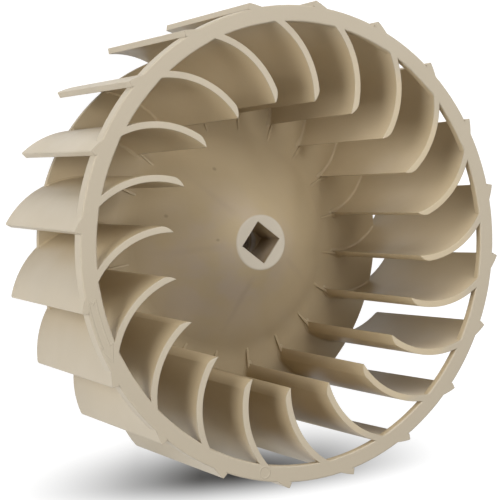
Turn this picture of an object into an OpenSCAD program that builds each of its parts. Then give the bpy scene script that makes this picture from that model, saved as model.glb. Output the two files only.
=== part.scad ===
// Dryer blower wheel: a wheel moulded in one piece, with arc blades between a dished
// back plate and an inlet ring. It lies on the rear ends of its blades, with the inlet up.
// Millimetres. The axis of the wheel is the Z axis.

/* [Wheel] */
// depth of the wheel, from the rear ends of the blades to the face of the ring
wheel_h = 80; // [64:1:100]
// radius of the wheel at the tips of its blades, where they stand out past the ring as tabs
tip_front_r = 98.8; // [96:0.1:102]
// number of blades round the wheel
blade_count = 20; // [12:1:20]
// turn of the whole blade row about the axis, in degrees
blade_phase = -0.25; // [-9:0.25:9]

/* [Inlet ring] */
// how far the tips of the blades stand out past the ring
tab_out = 2.3; // [1.5:0.1:3.3]
// width of the ring's front face
ring_w = 6.7; // [5.5:0.1:8.5]
// height of the ring at its inner wall
ring_in_h = 3; // [2:0.1:5]
// height of the ring at its outer wall
ring_out_h = 5.8; // [4:0.1:9]
// rounding of the ring's edges
ring_edge_r = 0.6; // [0.3:0.1:0.9]

/* [Blades] */
// draft of the tips, as loss of radius from the ring to the rear
tip_draft = 0.7; // [0.4:0.05:1.2]
// draft of the end of a blade, as loss of length from the ring to the rear
end_draft = 1.8; // [0.5:0.1:3]
// rounding of the rear outer corner of a blade
tip_round_r = 1.5; // [1:0.1:3]
// radius of the arc along the middle of a blade
camber_r = 36.45; // [35:0.05:38]
// thickness of a blade
blade_t = 2.56; // [1.8:0.02:3]
// angle of a blade to the rim at its tip, in degrees
tip_angle = 21.9; // [20:0.1:25]
// sweep of the arc from the tip to the nose, in degrees about its centre
arc_sweep = 73.9; // [66:0.1:78]
// radius of the rounded nose at the inner end of a blade
nose_r = 6.9; // [5:0.1:8]
// draft of the nose, as gain of length from the ring to the rear
nose_draft = 1.3; // [0.5:0.1:3]
// bluntness of a blade's outer corner, taken off its radius
tip_blunt = 0.18; // [0.1:0.02:0.3]

/* [Root ribs] */
// how far a root rib starts inside the bend of the plate
rib_start = 1.2; // [0.5:0.1:3]
// height of a root rib where it meets the nose of its blade
rib_h = 1.6; // [1:0.1:3]
// thickness of a root rib
rib_t = 1; // [0.8:0.1:1.6]
// turn of a root rib from the centre of the nose, in degrees
rib_turn = 5.6; // [4.5:0.1:6]

/* [Back plate] */
// gap between the rim of the plate and the inside of the ring, seen along the axis
rim_gap = 5.1; // [3.8:0.1:6.8]
// height of the plate's front face at its rim
plate_rim_z = 4; // [3.6:0.1:6]
// radius of the bend between the shallow rim cone and the steep inner cone
bend_r = 49.7; // [44:0.1:52]
// height of the front face at the bend
bend_z = 14; // [12:0.1:18]
// rounding of the bend
bend_round_r = 20; // [8:0.5:26]
// thickness of the plate, measured along the axis at its rim
plate_t = 2.4; // [2:0.1:3]

/* [Hub] */
// radius of the flat face of the hub
hub_face_r = 11.6; // [11:0.1:13]
// height of the hub's face above the rear of the wheel
hub_face_z = 45.3; // [40:0.1:50]
// rounding between the hub's face and the cone
hub_round_r = 1.5; // [1:0.1:3]
// side of the half inch drive of the wrench that goes in the square hole
drive_side = 12.7; // [12.6:0.1:13]
// clearance of the square hole on the drive, over the whole side
drive_clear = 0.3; // [0.1:0.05:0.6]
// depth of the square drive hole
square_depth = 16; // [10:0.5:20]
// turn of the square's corners from a tab, in degrees
square_turn = 12.75; // [-45:0.25:45]
// radius of the bore for the threaded motor shaft
bore_r = 6.35; // [6:0.05:6.5]
// radius of the boss behind the plate
boss_r = 11; // [10:0.1:12.5]
// height of the boss's rear end above the rear of the wheel
boss_z = 12; // [8:0.5:16]
// width of the countersink at the rear of the bore
bore_sink = 1; // [0.5:0.1:1.5]

/* [Hidden] */
$fn = 96;

// how far a cut or a wedge runs past the material it works on
over = 1;
// where a round would only touch a plane, it runs past it by this much
graze = 0.04;
ring_r = tip_front_r - tab_out;
ring_in_r = ring_r - ring_w;
plate_r = ring_in_r - rim_gap;
tip_rear_r = tip_front_r - tip_draft;
square_side = drive_side + drive_clear;
// the two faces of a blade, as circles about the centre of its arc, which is set so that the
// outer corner of the blade is on the X axis
convex_r = camber_r + blade_t / 2;
concave_r = camber_r - blade_t / 2;
arc_cx = tip_front_r + tip_blunt - convex_r * cos(tip_angle);
arc_cy = convex_r * sin(tip_angle);
arc_end = tip_angle + arc_sweep;
// the nose stands this far proud of the convex face, which trims it
nose_proud = 0.1;
nose_d = convex_r - nose_r + nose_proud;
nose_cx = arc_cx + nose_d * cos(arc_end);
nose_cy = arc_cy - nose_d * sin(arc_end);
// reach of the wedge that picks the blade out of the ring between its two faces, and how
// many degrees it starts ahead of the tip
wedge_r = 1.7 * convex_r;
wedge_lead = 4;
// how far the rear ends of the blades reach in under the rim of the plate
blade_lap = 1;
// fall of the two cones of the plate over a millimetre of radius, and their angles
rim_slope = (bend_z - plate_rim_z) / (plate_r - bend_r);
cone_slope = (hub_face_z - bend_z) / (bend_r - hub_face_r);
rim_a = atan(rim_slope);
cone_a = atan(cone_slope);
// thickness of the steep cone along the axis, for the same wall
cone_t = plate_t * cos(rim_a) / cos(cone_a);
// where the rear faces of the two cones cross
back_r = bend_r - (cone_t - plate_t) / (cone_slope - rim_slope);
back_z = bend_z - plate_t + rim_slope * (bend_r - back_r);
// where the rear face of the steep cone meets the boss
boss_top_z = hub_face_z - cone_slope * (boss_r - hub_face_r) - cone_t;

// What comes off a square outer corner at (x, y); sx and sy point into the material.
module corner_cut(x, y, sx, sy, r) {
    difference() {
        translate([x + sx * (r - over) / 2, y + sy * (r - over) / 2])
            square(r + over, center = true);
        translate([x + sx * r, y + sy * r])
            circle(r);
    }
}

// The inlet ring: flat in front, deeper at its outer wall than at its inner one.
module ring() {
    rotate_extrude()
        difference() {
            polygon([
                [ring_in_r, wheel_h],
                [ring_r, wheel_h],
                [ring_r, wheel_h - ring_out_h],
                [ring_in_r, wheel_h - ring_in_h]
            ]);
            corner_cut(ring_r, wheel_h, -1, -1, ring_edge_r);
            corner_cut(ring_in_r, wheel_h, 1, -1, ring_edge_r);
        }
}

// What a blade keeps of the ring between its two faces, seen about the centre of its arc with
// the nose on the X axis: a wedge up to the tip and a little past it, and the rounded nose.
module blade_reach() {
    polygon([
        [0, 0],
        for (i = [0:2])
            let (a = (arc_sweep + wedge_lead) * i / 2)
                [wedge_r * cos(a), wedge_r * sin(a)]
    ]);
    translate([nose_d, 0])
        circle(nose_r);
}

// What comes off the end of a blade, seen along its thickness: the end leans back from the
// ring to the rear, where its corner is rounded.
module end_cut_section() {
    a = atan(end_draft / wheel_h);
    cx = -end_draft - tip_round_r * (1 - sin(a)) / cos(a);
    difference() {
        polygon([
            [cx, tip_round_r],
            [cx, -2 * over],
            [5 * over, -2 * over],
            [5 * over, wheel_h + 2 * over],
            [2 * over * tan(a), wheel_h + 2 * over],
            [cx + tip_round_r * cos(a), tip_round_r * (1 - sin(a))]
        ]);
        translate([cx + graze, tip_round_r - graze])
            circle(tip_round_r);
    }
}

// One blade: an arc of even thickness along the axis, with a nose that leans in towards the
// rear and an end that leans back.
module blade() {
    difference() {
        intersection() {
            translate([arc_cx, arc_cy, -over])
                linear_extrude(wheel_h + 2 * over)
                    difference() {
                        circle(convex_r);
                        circle(concave_r);
                    }
            translate([arc_cx, arc_cy, wheel_h])
                rotate(-arc_end)
                    rotate([-asin(nose_draft / wheel_h), 0, 0])
                        translate([0, 0, -wheel_h - 3 * over])
                            linear_extrude(wheel_h + 6 * over)
                                blade_reach();
        }
        translate([arc_cx, arc_cy])
            rotate(-tip_angle)
                translate([concave_r - over, 0])
                    rotate([90, 0, 90])
                        linear_extrude(blade_t + 2 * over)
                            end_cut_section();
    }
}

// Small rib that braces the nose of a blade on the plate, seen from its side.
module root_rib() {
    r1 = bend_r - rib_start;
    r2 = norm([nose_cx, nose_cy]) - nose_r / 2;
    z2 = bend_z - rim_slope * (r2 - bend_r);
    rotate(atan2(nose_cy, nose_cx) - rib_turn)
        translate([0, rib_t / 2])
            rotate([90, 0, 0])
                linear_extrude(rib_t)
                    polygon([
                        [r1, bend_z + cone_slope * rib_start],
                        [bend_r, bend_z - plate_t / 2],
                        [r2, z2 - plate_t / 2],
                        [r2, z2 + rib_h]
                    ]);
}

// Body of revolution that bounds the row of blades: the middle of the plate below, the tips
// outside.
module blade_bounds() {
    rotate_extrude()
        polygon([
            [hub_face_r, hub_face_z - cone_t / 2],
            [(bend_r + back_r) / 2, (bend_z + back_z) / 2],
            [plate_r - blade_lap, plate_rim_z - plate_t / 2 + rim_slope * blade_lap],
            [plate_r - blade_lap, 0],
            [tip_rear_r, 0],
            [tip_front_r, wheel_h],
            [hub_face_r, wheel_h]
        ]);
}

// The row of blades between the plate and the ring, with their ribs.
module blades() {
    intersection() {
        for (i = [0:blade_count - 1])
            rotate(blade_phase + i * 360 / blade_count)
                blade();
        blade_bounds();
    }
    for (i = [0:blade_count - 1])
        rotate(blade_phase + i * 360 / blade_count)
            root_rib();
}

// Section of the plate with the hub: a shallow cone at the rim, a steep one up to the hub's
// flat face, and the boss that stands behind it.
module plate_section() {
    reach = bend_round_r * tan((cone_a - rim_a) / 2);
    x1 = bend_r - reach * cos(cone_a);
    z1 = bend_z + reach * sin(cone_a);
    x2 = bend_r + reach * cos(rim_a);
    z2 = bend_z - reach * sin(rim_a);
    polygon([
        [0, boss_z],
        [boss_r, boss_z],
        [boss_r, boss_top_z],
        [back_r, back_z],
        [plate_r, plate_rim_z - plate_t],
        [plate_r, plate_rim_z],
        [bend_r, bend_z],
        [hub_face_r, hub_face_z],
        [0, hub_face_z]
    ]);
    difference() {
        polygon([[x1, z1], [x2, z2], [bend_r, bend_z - over]]);
        translate([x2 + bend_round_r * sin(rim_a), z2 + bend_round_r * cos(rim_a)])
            circle(bend_round_r);
    }
}

// What comes off the edge between the hub's face and the steep cone.
module hub_edge_cut() {
    cx = hub_face_r - hub_round_r * tan(cone_a / 2);
    cz = hub_face_z - hub_round_r;
    far = hub_round_r + over;
    difference() {
        polygon([
            [cx, cz],
            [cx, hub_face_z + over],
            [cx + far * sin(cone_a), hub_face_z + over],
            [cx + far * sin(cone_a), cz + far * cos(cone_a)]
        ]);
        translate([cx, cz])
            circle(hub_round_r);
    }
}

// The dished back plate and the hub.
module plate() {
    rotate_extrude()
        difference() {
            plate_section();
            hub_edge_cut();
        }
}

// The square drive hole in the hub's face, and the bore for the shaft behind it.
module hub_holes() {
    translate([0, 0, hub_face_z - square_depth])
        rotate(45 + square_turn)
            linear_extrude(square_depth + over)
                square(square_side, center = true);
    translate([0, 0, boss_z - over])
        cylinder(h = hub_face_z - square_depth - boss_z + 2 * over, r = bore_r);
    translate([0, 0, boss_z])
        cylinder(h = bore_sink, r1 = bore_r + bore_sink, r2 = bore_r);
}

module blower_wheel() {
    color("#bdb29e")
        difference() {
            union() {
                ring();
                blades();
                plate();
            }
            hub_holes();
        }
}

blower_wheel();
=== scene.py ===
import math
import bpy, bmesh
from mathutils import Matrix, Vector


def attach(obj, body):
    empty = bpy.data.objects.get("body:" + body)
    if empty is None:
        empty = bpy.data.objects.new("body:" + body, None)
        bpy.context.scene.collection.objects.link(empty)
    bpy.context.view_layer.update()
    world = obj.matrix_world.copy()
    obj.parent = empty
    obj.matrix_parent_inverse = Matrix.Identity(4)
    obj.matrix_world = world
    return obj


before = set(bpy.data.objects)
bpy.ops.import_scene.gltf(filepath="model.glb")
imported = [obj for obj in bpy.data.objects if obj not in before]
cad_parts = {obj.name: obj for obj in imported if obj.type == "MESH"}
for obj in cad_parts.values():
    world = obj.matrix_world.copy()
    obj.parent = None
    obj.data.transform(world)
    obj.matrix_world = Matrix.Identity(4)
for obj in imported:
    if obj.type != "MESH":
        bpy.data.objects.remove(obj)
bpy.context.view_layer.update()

scene = bpy.context.scene
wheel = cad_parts["blower_wheel"]

# Camera in metres, fitted to the tabs, noses, rims and square hole of the photograph
CAM_LENS, CAM_SENSOR = 105.04, 36.0
CAM_CLIP = (0.05, 20.0)
CAM_AT = (-0.302515, 0.000252, 0.587672)
CAM_RIGHT = (0.875944, 0.049884, 0.479827)
CAM_UP = (-0.040884, 0.998737, -0.029194)

# The wheel's measures in mm, as in the CAD source
TIP_R, TIP_BLUNT, TIP_ANGLE = 98.8, 0.18, 21.9
CAMBER, BLADE_T, SWEEP = 36.45, 2.56, 73.9
NOSE_R, NOSE_PROUD, NOSE_DRAFT = 6.9, 0.1, 1.3
COUNT, PHASE, HEIGHT = 20, -0.25, 80.0
PLATE_R, RIM_Z = 84.7, 4.0
BEND_R, BEND_Z, BEND_ROUND = 49.7, 14.0, 20.0
HUB_R, HUB_Z, BORE_R = 11.6, 45.3, 6.35
CONVEX, CONCAVE = CAMBER + BLADE_T / 2, CAMBER - BLADE_T / 2
ARC = Vector((TIP_R + TIP_BLUNT - CONVEX * math.cos(math.radians(TIP_ANGLE)),
              CONVEX * math.sin(math.radians(TIP_ANGLE))))
ARC_END = math.radians(TIP_ANGLE + SWEEP)
RIM_SLOPE = (BEND_Z - RIM_Z) / (PLATE_R - BEND_R)
CONE_SLOPE = (HUB_Z - BEND_Z) / (BEND_R - HUB_R)

# Fillets at the blades' feet, in mm
FILLET_SIDE, FILLET_NOSE, FILLET_BURY, FILLET_STEPS = 0.8, 1.5, 0.25, 6
NOSE_REACH = 9.0            # how far from the nose the wide fillet fades out
FOOT_Z = 12.5               # mean height of the feet near the noses
RIM_MARGIN = 0.6            # how far inside the plate's rim a fillet ends
SEARCH_FROM, SEARCH_STEP = math.radians(25.0), 0.002
SIDE_STEPS, NOSE_STEPS, TURN_STEPS = 28, 12, 7

# Left-hand thread in the bore, in mm
THREAD_PITCH, THREAD_CREST = 1.95, 5.65
THREAD_Z = (14.4, 25.2)
THREAD_PER_TURN, THREAD_FADE = 56, 0.3
FLANK_HALF, CREST_HALF, FLANK_SUNK, CREST_SUNK = 0.82, 0.12, 0.3, 0.02

# Colours of the one plastic, linear; some are painted shade and painted light
SKIN = ((0.487, 0.420, 0.314, 1), (0.513, 0.443, 0.332, 1))
# Painted shade: the darker, more saturated tone for the inside of the dish.
DEEP_SHADE = ((0.500, 0.399, 0.249, 1), (0.536, 0.430, 0.276, 1))
FRONT = (0.470, 0.404, 0.303, 1)
# Painted light: a warmer, brighter tone towards +X, for the far blades.
WARM_LIT = (0.545, 0.447, 0.298, 1)
# Painted light: the paler tone is for the hub's front face.
PALE_LIT, SHADE = (0.53, 0.470, 0.375, 1), (0.36, 0.265, 0.14, 1)
ROSY, LINE, SPECK = (0.500, 0.412, 0.328, 1), (0.405, 0.318, 0.235, 1), (0.25, 0.19, 0.12, 1)

# Noises over mm as (scale, detail, roughness), and the part of their range that counts
CLOUD_NOISE, CLOUD = (0.022, 4.0, 0.55), (0.3, 0.7)
BLOOM_NOISE, BLOOM = (0.06, 3.0), (0.35, 0.65)
ROUGH_NOISE, ROUGH_SPAN = (0.05, 3.0), (0.3, 0.7)
FLOW_NOISE, GRAIN_NOISE = (0.09, 2.0), (0.9, 2.0)

# Where the colours change, in mm, each from and to
INSIDE_R, WARM_LIT_X = (80.0, 95.0), (-20.0, 60.0)
FRONT_R, FRONT_Z = (80.0, 88.0), (79.2, 79.9)
HUB_EDGE_R, HUB_TOP_Z = (11.4, 12.2), (44.6, 45.2)
POCKET_R, POCKET_Z, WALLS_Z = (9.2, 9.5), (44.4, 44.8), (26.0, 29.0)
BLOOM_AT, BLOOM_R, BLOOM_MIX = (-12.0, -10.0, 0.0), (8.0, 44.0), 0.8

# Flow lines as (angle in degrees, weight), specks as (x, y, size in mm)
FLOW = ((-169.5, 0.6), (-95.5, 1.0), (-24.0, 0.6), (134.0, 0.6))
FLOW_HALF, FLOW_WAVE, FLOW_MIX = 2.4, 0.9, 0.42
FLOW_START, FLOW_STOP = (12.0, 20.0), (24.0, 46.0)
SPECKS = ((-14.6, 30.7, 0.75), (-18.0, 0.1, 0.6), (-35.5, 9.2, 0.7))
SPECK_MIX, SPECK_EDGE, SPECK_Z = 0.5, (0.4, 1.5), (15.0, 20.0)

# Raised marks on the ring, in mm: an arrow along the circle and a gate's circle
ARROW_R, ARROW_START = 94.0, -164.7
ARROW = (((0.0, 1.5), (1.8, 0.0)), ((0.0, 1.5), (18.9, 1.5)),
         ((18.9, 1.5), (18.9, 2.8)), ((18.9, 2.8), (25.4, 0.0)))
GATE_AT, GATE_R = (-12.25, -92.16, 0.0), 2.3
MARK_EDGE, MARK_Z = (0.12, 0.42), (79.7, 79.9)

# Surface of the plastic, lengths in metres
PLASTIC_IOR, ROUGH = 1.49, (0.36, 0.46)
SPECULAR, SPECULAR_POCKET = 0.5, 0.12
EDGE_ROUND, EDGE_SAMPLES = 0.0004, 6
GRAIN_DEPTH, MARK_DEPTH = 0.00002, 0.00012

# Floor: brightness as seen, as a bounce and in reflections, and the painted shadow's oval in metres
FLOOR_SEEN, FLOOR_BOUNCE, MIRRORED = 0.16, 0.55, 0.7
FLOOR_HALF, FLOOR_DROP = 3.0, 0.0003
SHADOW_AT, SHADOW_TILT = (0.018, -0.107), 0.05
SHADOW_REACH = (0.130, 0.140, 0.016, 0.026)     # left, right, front, back

# Light: world strength for diffuse and glossy rays, then lamps as
# (name, azimuth, elevation, distance, size, watts), angles in degrees
WORLD, GLOSSY = 0.02, 0.6
LAMP_TARGET = (0, 0, 0.04)
MIRROR_FROM = 45            # a lower lamp mirrored in the ring would clip to white
FLOOR_LIGHT = ("floor_lamp", 122, 64, 1.6, 0.95, 28)
LIGHTS = (
    ("high", 90, 65, 1.2, 0.8, 5.1),
    ("high_front", 270, 65, 1.2, 0.8, 2.6),
    ("right", 20, 50, 1.2, 0.8, 2.6),
    ("top", 90, 25, 1.2, 0.9, 8.8),
    ("left", 180, 14, 1.2, 0.9, 13.0),
    ("left_front", 250, 14, 1.2, 0.9, 3.8),
)


def set_camera():
    data = bpy.data.cameras.new("camera")
    data.lens = CAM_LENS
    data.sensor_width = CAM_SENSOR
    data.clip_start, data.clip_end = CAM_CLIP
    cam = bpy.data.objects.new("camera", data)
    scene.collection.objects.link(cam)
    right = Vector(CAM_RIGHT).normalized()
    back = right.cross(Vector(CAM_UP)).normalized()
    up = back.cross(right).normalized()
    rows = [(right[i], up[i], back[i], CAM_AT[i]) for i in range(3)]
    cam.matrix_world = Matrix((*rows, (0, 0, 0, 1)))
    scene.camera = cam


def node_tree(name):
    """A material without nodes, and its node tree."""
    m = bpy.data.materials.new(name)
    m.use_nodes = True
    m.node_tree.nodes.clear()
    return m, m.node_tree


class Graph:
    """Short ways to add and join shader nodes."""
    def __init__(self, tree):
        self.N, self.L = tree.nodes, tree.links

    def put(self, socket, v):
        if hasattr(v, "is_output"):
            self.L.new(v, socket)
        else:
            socket.default_value = v

    def math(self, op, a, b, clamp=False):
        n = self.N.new("ShaderNodeMath")
        n.operation = op
        n.use_clamp = clamp
        self.put(n.inputs[0], a)
        self.put(n.inputs[1], b)
        return n.outputs[0]

    def absolute(self, v):
        n = self.N.new("ShaderNodeMath")
        n.operation = "ABSOLUTE"
        self.put(n.inputs[0], v)
        return n.outputs[0]

    def vec(self, op, a, b=None):
        n = self.N.new("ShaderNodeVectorMath")
        n.operation = op
        self.put(n.inputs[0], a)
        if b is not None:
            self.put(n.inputs["Scale"] if op == "SCALE" else n.inputs[1], b)
        return n.outputs["Value" if op in ("DOT_PRODUCT", "LENGTH", "DISTANCE") else "Vector"]

    def noise(self, vector, scale, detail, rough=0.5):
        n = self.N.new("ShaderNodeTexNoise")
        self.put(n.inputs["Vector"], vector)
        n.inputs["Scale"].default_value = scale
        n.inputs["Detail"].default_value = detail
        n.inputs["Roughness"].default_value = rough
        return n.outputs["Fac"]

    def smooth(self, v, lo, hi, to_lo=0.0, to_hi=1.0):
        n = self.N.new("ShaderNodeMapRange")
        n.interpolation_type = "SMOOTHSTEP"
        self.put(n.inputs["Value"], v)
        n.inputs["From Min"].default_value = lo
        n.inputs["From Max"].default_value = hi
        n.inputs["To Min"].default_value = to_lo
        n.inputs["To Max"].default_value = to_hi
        return n.outputs["Result"]

    def mix(self, fac, a, b):
        n = self.N.new("ShaderNodeMix")
        n.data_type = "RGBA"
        self.put(n.inputs[0], fac)
        self.put(n.inputs[6], a)
        self.put(n.inputs[7], b)
        return n.outputs[2]

    def bump(self, height, distance, normal):
        n = self.N.new("ShaderNodeBump")
        n.inputs["Distance"].default_value = distance
        self.put(n.inputs["Height"], height)
        self.put(n.inputs["Normal"], normal)
        return n.outputs["Normal"]

    def split(self, vector):
        n = self.N.new("ShaderNodeSeparateXYZ")
        self.L.new(vector, n.inputs[0])
        return n.outputs

    def join(self, x, y):
        n = self.N.new("ShaderNodeCombineXYZ")
        self.L.new(x, n.inputs[0])
        self.L.new(y, n.inputs[1])
        return n.outputs[0]


class Place:
    """Where the shaded point lies on the wheel, in mm and degrees."""
    def __init__(self, g):
        self.mm = g.vec("SCALE", g.N.new("ShaderNodeTexCoord").outputs["Object"], 1000.0)
        self.x, self.y, self.z = g.split(self.mm)
        self.flat = g.vec("MULTIPLY", self.mm, (1.0, 1.0, 0.0))
        self.r = g.vec("LENGTH", self.flat)
        self.angle = g.math("MULTIPLY", g.math("ARCTAN2", self.y, self.x), 180 / math.pi)


def ring_marks(g, at):
    """Height of the raised arrow and of the gate's circle on the ring's face."""
    u = g.math("MULTIPLY", g.math("ADD", at.angle, -ARROW_START), ARROW_R * math.pi / 180)
    v = g.absolute(g.math("SUBTRACT", at.r, ARROW_R))
    uv = g.join(u, v)
    spot = g.vec("LENGTH", g.vec("SUBTRACT", at.flat, GATE_AT))
    near = g.absolute(g.math("SUBTRACT", spot, GATE_R))
    for (ax, ay), (bx, by) in ARROW:
        dx, dy = bx - ax, by - ay
        rel = g.vec("SUBTRACT", uv, (ax, ay, 0.0))
        t = g.vec("DOT_PRODUCT", rel, (dx, dy, 0.0))
        t = g.math("MULTIPLY", t, 1 / (dx * dx + dy * dy), clamp=True)
        foot = g.vec("SCALE", (dx, dy, 0.0), t)
        near = g.math("MINIMUM", near, g.vec("LENGTH", g.vec("SUBTRACT", rel, foot)))
    return g.smooth(near, *MARK_EDGE, 1.0, 0.0)


def flow_lines(g, at):
    """Faint lines where the melt met, fanning out from the hub over the cone."""
    wave = g.smooth(g.noise(at.mm, *FLOW_NOISE), 0.0, 1.0, -FLOW_WAVE, FLOW_WAVE)
    total = None
    for angle, weight in FLOW:
        ca, sa = math.cos(math.radians(angle)), math.sin(math.radians(angle))
        along = g.vec("DOT_PRODUCT", at.mm, (ca, sa, 0.0))
        off = g.absolute(g.math("ADD", g.vec("DOT_PRODUCT", at.mm, (-sa, ca, 0.0)), wave))
        one = g.math("MULTIPLY", g.smooth(off, 0.0, FLOW_HALF, weight, 0.0), g.smooth(along, *FLOW_START))
        one = g.math("MULTIPLY", one, g.smooth(along, *FLOW_STOP, 1.0, 0.0))
        total = one if total is None else g.math("MAXIMUM", total, one)
    return total


def both(g, a, b):
    """Where both masks hold."""
    return g.math("MULTIPLY", a, b)


def plastic_colour(g, at, pocket):
    """Mottled by the melt, with painted shade making the inside warmer and darker and the pocket dark, and
    painted light making +X warmer and the hub face paler.
    """
    cloud = g.smooth(g.noise(at.mm, *CLOUD_NOISE), *CLOUD)
    skin = g.mix(cloud, *SKIN)
    # Painted light: warmer and brighter towards +X.
    skin = g.mix(g.smooth(at.x, *WARM_LIT_X), skin, WARM_LIT)
    inside = both(g, g.smooth(at.r, *INSIDE_R, 1.0, 0.0), g.smooth(at.z, *FRONT_Z, 1.0, 0.0))
    hub = both(g, g.smooth(at.r, *HUB_EDGE_R, 1.0, 0.0), g.smooth(at.z, *HUB_TOP_Z))
    inside = both(g, inside, g.math("SUBTRACT", 1.0, hub))
    # Painted shade: the inside of the dish takes the darker, more saturated tone.
    col = g.mix(inside, skin, g.mix(cloud, *DEEP_SHADE))
    col = g.mix(both(g, g.smooth(at.r, *FRONT_R), g.smooth(at.z, *FRONT_Z)), col, FRONT)
    # Painted light: the hub's front face is made paler.
    col = g.mix(hub, col, PALE_LIT)
    col = g.mix(pocket, col, SHADE)
    bloom = both(g, g.smooth(g.vec("DISTANCE", at.flat, BLOOM_AT), *BLOOM_R, 1.0, 0.0),
                 g.smooth(g.noise(at.mm, *BLOOM_NOISE), *BLOOM))
    col = g.mix(g.math("MULTIPLY", both(g, bloom, inside), BLOOM_MIX), col, ROSY)
    col = g.mix(g.math("MULTIPLY", both(g, flow_lines(g, at), inside), FLOW_MIX), col, LINE)
    for x, y, size in SPECKS:
        core, rim = (size * edge for edge in SPECK_EDGE)
        dot = g.smooth(g.vec("DISTANCE", at.flat, (x, y, 0.0)), core, rim, SPECK_MIX, 0.0)
        col = g.mix(both(g, dot, g.smooth(at.z, *SPECK_Z)), col, SPECK)
    return col


def plastic():
    m, tree = node_tree("plastic")
    g = Graph(tree)
    out = g.N.new("ShaderNodeOutputMaterial")
    shader = g.N.new("ShaderNodeBsdfPrincipled")
    g.L.new(shader.outputs["BSDF"], out.inputs["Surface"])
    shader.inputs["IOR"].default_value = PLASTIC_IOR
    at = Place(g)
    pocket = both(g, g.smooth(at.r, *POCKET_R, 1.0, 0.0), g.smooth(at.z, *POCKET_Z, 1.0, 0.0))
    g.L.new(plastic_colour(g, at, pocket), shader.inputs["Base Color"])
    walls = both(g, pocket, g.smooth(at.z, *WALLS_Z))
    g.L.new(g.smooth(walls, 0.0, 1.0, SPECULAR, SPECULAR_POCKET), shader.inputs["Specular IOR Level"])
    rough = g.smooth(g.noise(at.mm, *ROUGH_NOISE), *ROUGH_SPAN, *ROUGH)
    g.L.new(rough, shader.inputs["Roughness"])
    edge = g.N.new("ShaderNodeBevel")
    edge.samples = EDGE_SAMPLES
    edge.inputs["Radius"].default_value = EDGE_ROUND
    normal = g.bump(g.noise(at.mm, *GRAIN_NOISE), GRAIN_DEPTH, edge.outputs["Normal"])
    marks = both(g, ring_marks(g, at), g.smooth(at.z, *MARK_Z))
    g.L.new(g.bump(marks, MARK_DEPTH, normal), shader.inputs["Normal"])
    return m


def piece(name, verts, faces, material):
    """A mesh piece of the wheel from points in mm, on the one body."""
    me = bpy.data.meshes.new(name)
    me.from_pydata([tuple(c / 1000 for c in v) for v in verts], [], faces)
    bm = bmesh.new()
    bm.from_mesh(me)
    bmesh.ops.recalc_face_normals(bm, faces=bm.faces)
    bm.to_mesh(me)
    bm.free()
    me.shade_smooth()
    o = bpy.data.objects.new(name, me)
    scene.collection.objects.link(o)
    me.materials.append(material)
    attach(o, "root")
    return o


def dish(r):
    """Height of the plate's front face at radius r."""
    a, b = math.atan(RIM_SLOPE), math.atan(CONE_SLOPE)
    reach = BEND_ROUND * math.tan((b - a) / 2)
    r1, r2 = BEND_R - reach * math.cos(b), BEND_R + reach * math.cos(a)
    if r < r1:
        return BEND_Z + CONE_SLOPE * (BEND_R - r)
    if r > r2:
        return BEND_Z - RIM_SLOPE * (r - BEND_R)
    rc = r2 + BEND_ROUND * math.sin(a)
    zc = BEND_Z - RIM_SLOPE * (r2 - BEND_R) + BEND_ROUND * math.cos(a)
    return zc - math.sqrt(BEND_ROUND ** 2 - (r - rc) ** 2)


def on_arc(t):
    """Unit vector from the blade's arc centre, t radians clockwise from +X."""
    return Vector((math.cos(t), -math.sin(t)))


def rim_angle(rad):
    """Where the arc of radius rad comes inside the plate's rim."""
    t = SEARCH_FROM
    while (ARC + on_arc(t) * rad).length > PLATE_R - RIM_MARGIN:
        t += SEARCH_STEP
    return t


def nose_angle(nose, rad):
    """Where the arc of radius rad meets the nose's circle."""
    d = (nose - ARC).length
    base = -math.atan2(nose.y - ARC.y, nose.x - ARC.x)
    return base + math.acos((d * d + rad * rad - NOSE_R ** 2) / (2 * d * rad))


def clockwise(start, end):
    """end, turned back until it lies clockwise of start."""
    while end > start:
        end -= 2 * math.pi
    return end


def root_path():
    """Points (position, outward normal) round the foot of the blade whose tip is on +X."""
    lean = NOSE_DRAFT * (HEIGHT - FOOT_Z) / HEIGHT
    lead = Vector((-math.sin(ARC_END), -math.cos(ARC_END)))
    nose = ARC + on_arc(ARC_END) * (CONVEX - NOSE_R + NOSE_PROUD) + lead * lean
    path = []
    t0, t1 = rim_angle(CONVEX), nose_angle(nose, CONVEX)
    for i in range(SIDE_STEPS + 1):
        n = on_arc(t0 + (t1 - t0) * i / SIDE_STEPS)
        path.append((ARC + n * CONVEX, n))
    start = path[-1][0] - nose
    t2, t3 = nose_angle(nose, CONCAVE), rim_angle(CONCAVE)
    corner = ARC + on_arc(t2) * CONCAVE
    a1 = math.atan2(start.y, start.x)
    a2 = clockwise(a1, math.atan2(corner.y - nose.y, corner.x - nose.x))
    for i in range(1, NOSE_STEPS + 1):
        a = a1 + (a2 - a1) * i / NOSE_STEPS
        n = Vector((math.cos(a), math.sin(a)))
        path.append((nose + n * NOSE_R, n))
    inward = -on_arc(t2)
    a3 = clockwise(a2, math.atan2(inward.y, inward.x))
    for i in range(1, TURN_STEPS):
        a = a2 + (a3 - a2) * i / TURN_STEPS
        path.append((corner, Vector((math.cos(a), math.sin(a)))))
    for i in range(SIDE_STEPS + 1):
        n = on_arc(t2 + (t3 - t2) * i / SIDE_STEPS)
        path.append((ARC + n * CONCAVE, -n))
    return path


def fillet_section():
    """Section of a fillet of size 1 as (outward, upward), sunk into blade and plate."""
    section = [(-FILLET_BURY, 1.0)]
    for i in range(FILLET_STEPS + 1):
        a = math.pi / 2 * i / FILLET_STEPS
        section.append((1 - math.cos(a), 1 - math.sin(a)))
    return section + [(1.0, -FILLET_BURY), (-FILLET_BURY, -FILLET_BURY)]


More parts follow.
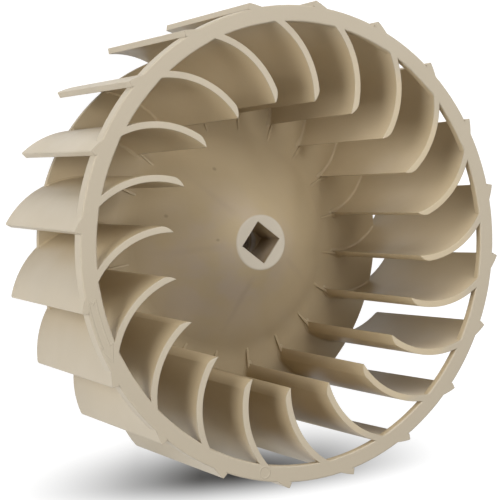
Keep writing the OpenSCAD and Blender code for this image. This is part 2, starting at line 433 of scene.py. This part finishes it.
def root_fillets(material):
    section, path, verts, faces = fillet_section(), root_path(), [], []
    m, last = len(section), len(path) - 1
    tip = min((p for p, n in path), key=lambda p: p.length)
    for k in range(COUNT):
        a = math.radians(PHASE + 360 * k / COUNT)
        ca, sa = math.cos(a), math.sin(a)
        first = len(verts)
        for p, n in path:
            near = max(0.0, 1 - (p - tip).length / NOSE_REACH)
            f = FILLET_SIDE + (FILLET_NOSE - FILLET_SIDE) * near * near * (3 - 2 * near)
            for out, up in section:
                q = p + n * (out * f if out > 0 else out)
                h = up * f if up > 0 else up
                verts.append((q.x * ca - q.y * sa, q.x * sa + q.y * ca, dish(q.length) + h))
        for i in range(last):
            b = first + i * m
            for j in range(m):
                faces.append((b + j, b + (j + 1) % m, b + m + (j + 1) % m, b + m + j))
        faces.append(tuple(first + j for j in range(m)))
        faces.append(tuple(first + last * m + j for j in range(m - 1, -1, -1)))
    return piece("root_fillets", verts, faces, material)


def bore_thread(material):
    z0, z1 = THREAD_Z
    turns = (z1 - z0) / THREAD_PITCH
    n = int(turns * THREAD_PER_TURN)
    root = BORE_R + FLANK_SUNK
    verts, faces = [], []
    for i in range(n + 1):
        k = i / n
        fade = min(1.0, k * turns / THREAD_FADE, (1 - k) * turns / THREAD_FADE)
        crest = BORE_R + CREST_SUNK - (BORE_R - THREAD_CREST) * fade
        a = -2 * math.pi * turns * k
        z = z0 + (z1 - z0) * k
        for rad, dz in ((root, -FLANK_HALF), (crest, -CREST_HALF), (crest, CREST_HALF), (root, FLANK_HALF)):
            verts.append((rad * math.cos(a), rad * math.sin(a), z + dz))
    for i in range(n):
        b = 4 * i
        for j in range(4):
            faces.append((b + j, b + (j + 1) % 4, b + 4 + (j + 1) % 4, b + 4 + j))
    faces.append((0, 1, 2, 3))
    faces.append((4 * n + 3, 4 * n + 2, 4 * n + 1, 4 * n))
    return piece("bore_thread", verts, faces, material)


def painted_shadow_clear(g, place):
    """Painted shadow: 0 in the middle of the shadow's oval and 1 outside it."""
    x, y, z = g.split(place)
    left, right, front, back = SHADOW_REACH
    dx = g.math("SUBTRACT", x, SHADOW_AT[0])
    dy = g.math("SUBTRACT", g.math("SUBTRACT", y, SHADOW_AT[1]), g.math("MULTIPLY", dx, SHADOW_TILT))
    across = g.math("MAXIMUM", g.math("DIVIDE", dx, right), g.math("DIVIDE", dx, -left))
    along = g.math("MAXIMUM", g.math("DIVIDE", dy, back), g.math("DIVIDE", dy, -front))
    return g.smooth(g.vec("LENGTH", g.join(across, along)), 0.0, 1.0)


def floor_material():
    """Glows white where seen outside the shadow's oval, fading out inward as painted shadow; the dark-seen
    diffuse floor also takes the lamp's real shadow.
    """
    m, tree = node_tree("floor")
    g = Graph(tree)
    out = g.N.new("ShaderNodeOutputMaterial")
    diffuse = g.N.new("ShaderNodeBsdfDiffuse")
    glow = g.N.new("ShaderNodeEmission")
    add = g.N.new("ShaderNodeAddShader")
    ray = g.N.new("ShaderNodeLightPath").outputs
    mirrored = g.math("MAXIMUM", ray["Is Glossy Ray"], ray["Is Transmission Ray"])
    seen = g.math("MAXIMUM", ray["Is Camera Ray"], g.math("MULTIPLY", mirrored, MIRRORED))
    clear = painted_shadow_clear(g, g.N.new("ShaderNodeTexCoord").outputs["Object"])
    # Painted shadow: the glow fades out over the oval.
    g.L.new(g.math("MULTIPLY", seen, clear), glow.inputs["Strength"])
    g.L.new(g.smooth(seen, 0.0, 1.0, FLOOR_BOUNCE, FLOOR_SEEN), diffuse.inputs["Color"])
    g.L.new(diffuse.outputs["BSDF"], add.inputs[0])
    g.L.new(glow.outputs["Emission"], add.inputs[1])
    g.L.new(add.outputs["Shader"], out.inputs["Surface"])
    return m


def make_floor():
    me = bpy.data.meshes.new("floor")
    bm = bmesh.new()
    bmesh.ops.create_grid(bm, x_segments=1, y_segments=1, size=FLOOR_HALF)
    bm.to_mesh(me)
    bm.free()
    me.materials.append(floor_material())
    o = bpy.data.objects.new("floor", me)
    o.location = (0, 0, -FLOOR_DROP)
    scene.collection.objects.link(o)
    return o


def set_world():
    """White for the camera, soft in reflections and nearly dark as a lamp."""
    world = bpy.data.worlds.new("world")
    scene.world = world
    world.use_nodes = True
    world.node_tree.nodes.clear()
    g = Graph(world.node_tree)
    out = g.N.new("ShaderNodeOutputWorld")
    sky = g.N.new("ShaderNodeBackground")
    sky.inputs["Color"].default_value = (1, 1, 1, 1)
    ray = g.N.new("ShaderNodeLightPath").outputs
    mirrored = g.math("MAXIMUM", ray["Is Glossy Ray"], ray["Is Transmission Ray"])
    seen = g.math("MAXIMUM", ray["Is Camera Ray"], g.math("MULTIPLY", mirrored, GLOSSY))
    g.L.new(g.math("MAXIMUM", seen, WORLD), sky.inputs["Strength"])
    g.L.new(sky.outputs["Background"], out.inputs["Surface"])


def lit_set(name, objects):
    """A collection of the objects that a lamp lights."""
    lit = bpy.data.collections.new(name)
    for o in objects:
        lit.objects.link(o)
    return lit


def area_lamp(name, az, el, dist, size, power, receivers):
    """Square area lamp: az from +X towards +Y, el above the floor, both in degrees."""
    data = bpy.data.lights.new(name, "AREA")
    data.shape = "SQUARE"
    data.size = size
    data.energy = power
    o = bpy.data.objects.new(name, data)
    scene.collection.objects.link(o)
    a, e = math.radians(az), math.radians(el)
    away = Vector((math.cos(e) * math.cos(a), math.cos(e) * math.sin(a), math.sin(e)))
    o.location = Vector(LAMP_TARGET) + away * dist
    o.rotation_euler = (-away).to_track_quat("-Z", "Y").to_euler()
    o.light_linking.receiver_collection = receivers
    o.visible_glossy = el > MIRROR_FROM


set_camera()
scene.view_settings.view_transform = "Standard"

mat = plastic()
for s in wheel.material_slots:
    s.material = mat
fillets = root_fillets(mat)
thread = bore_thread(mat)
floor = make_floor()

set_world()
on_wheel = lit_set("lit_wheel", (wheel, fillets, thread))
area_lamp(*FLOOR_LIGHT, lit_set("lit_floor", (floor,)))
for lamp in LIGHTS:
    area_lamp(*lamp, on_wheel)
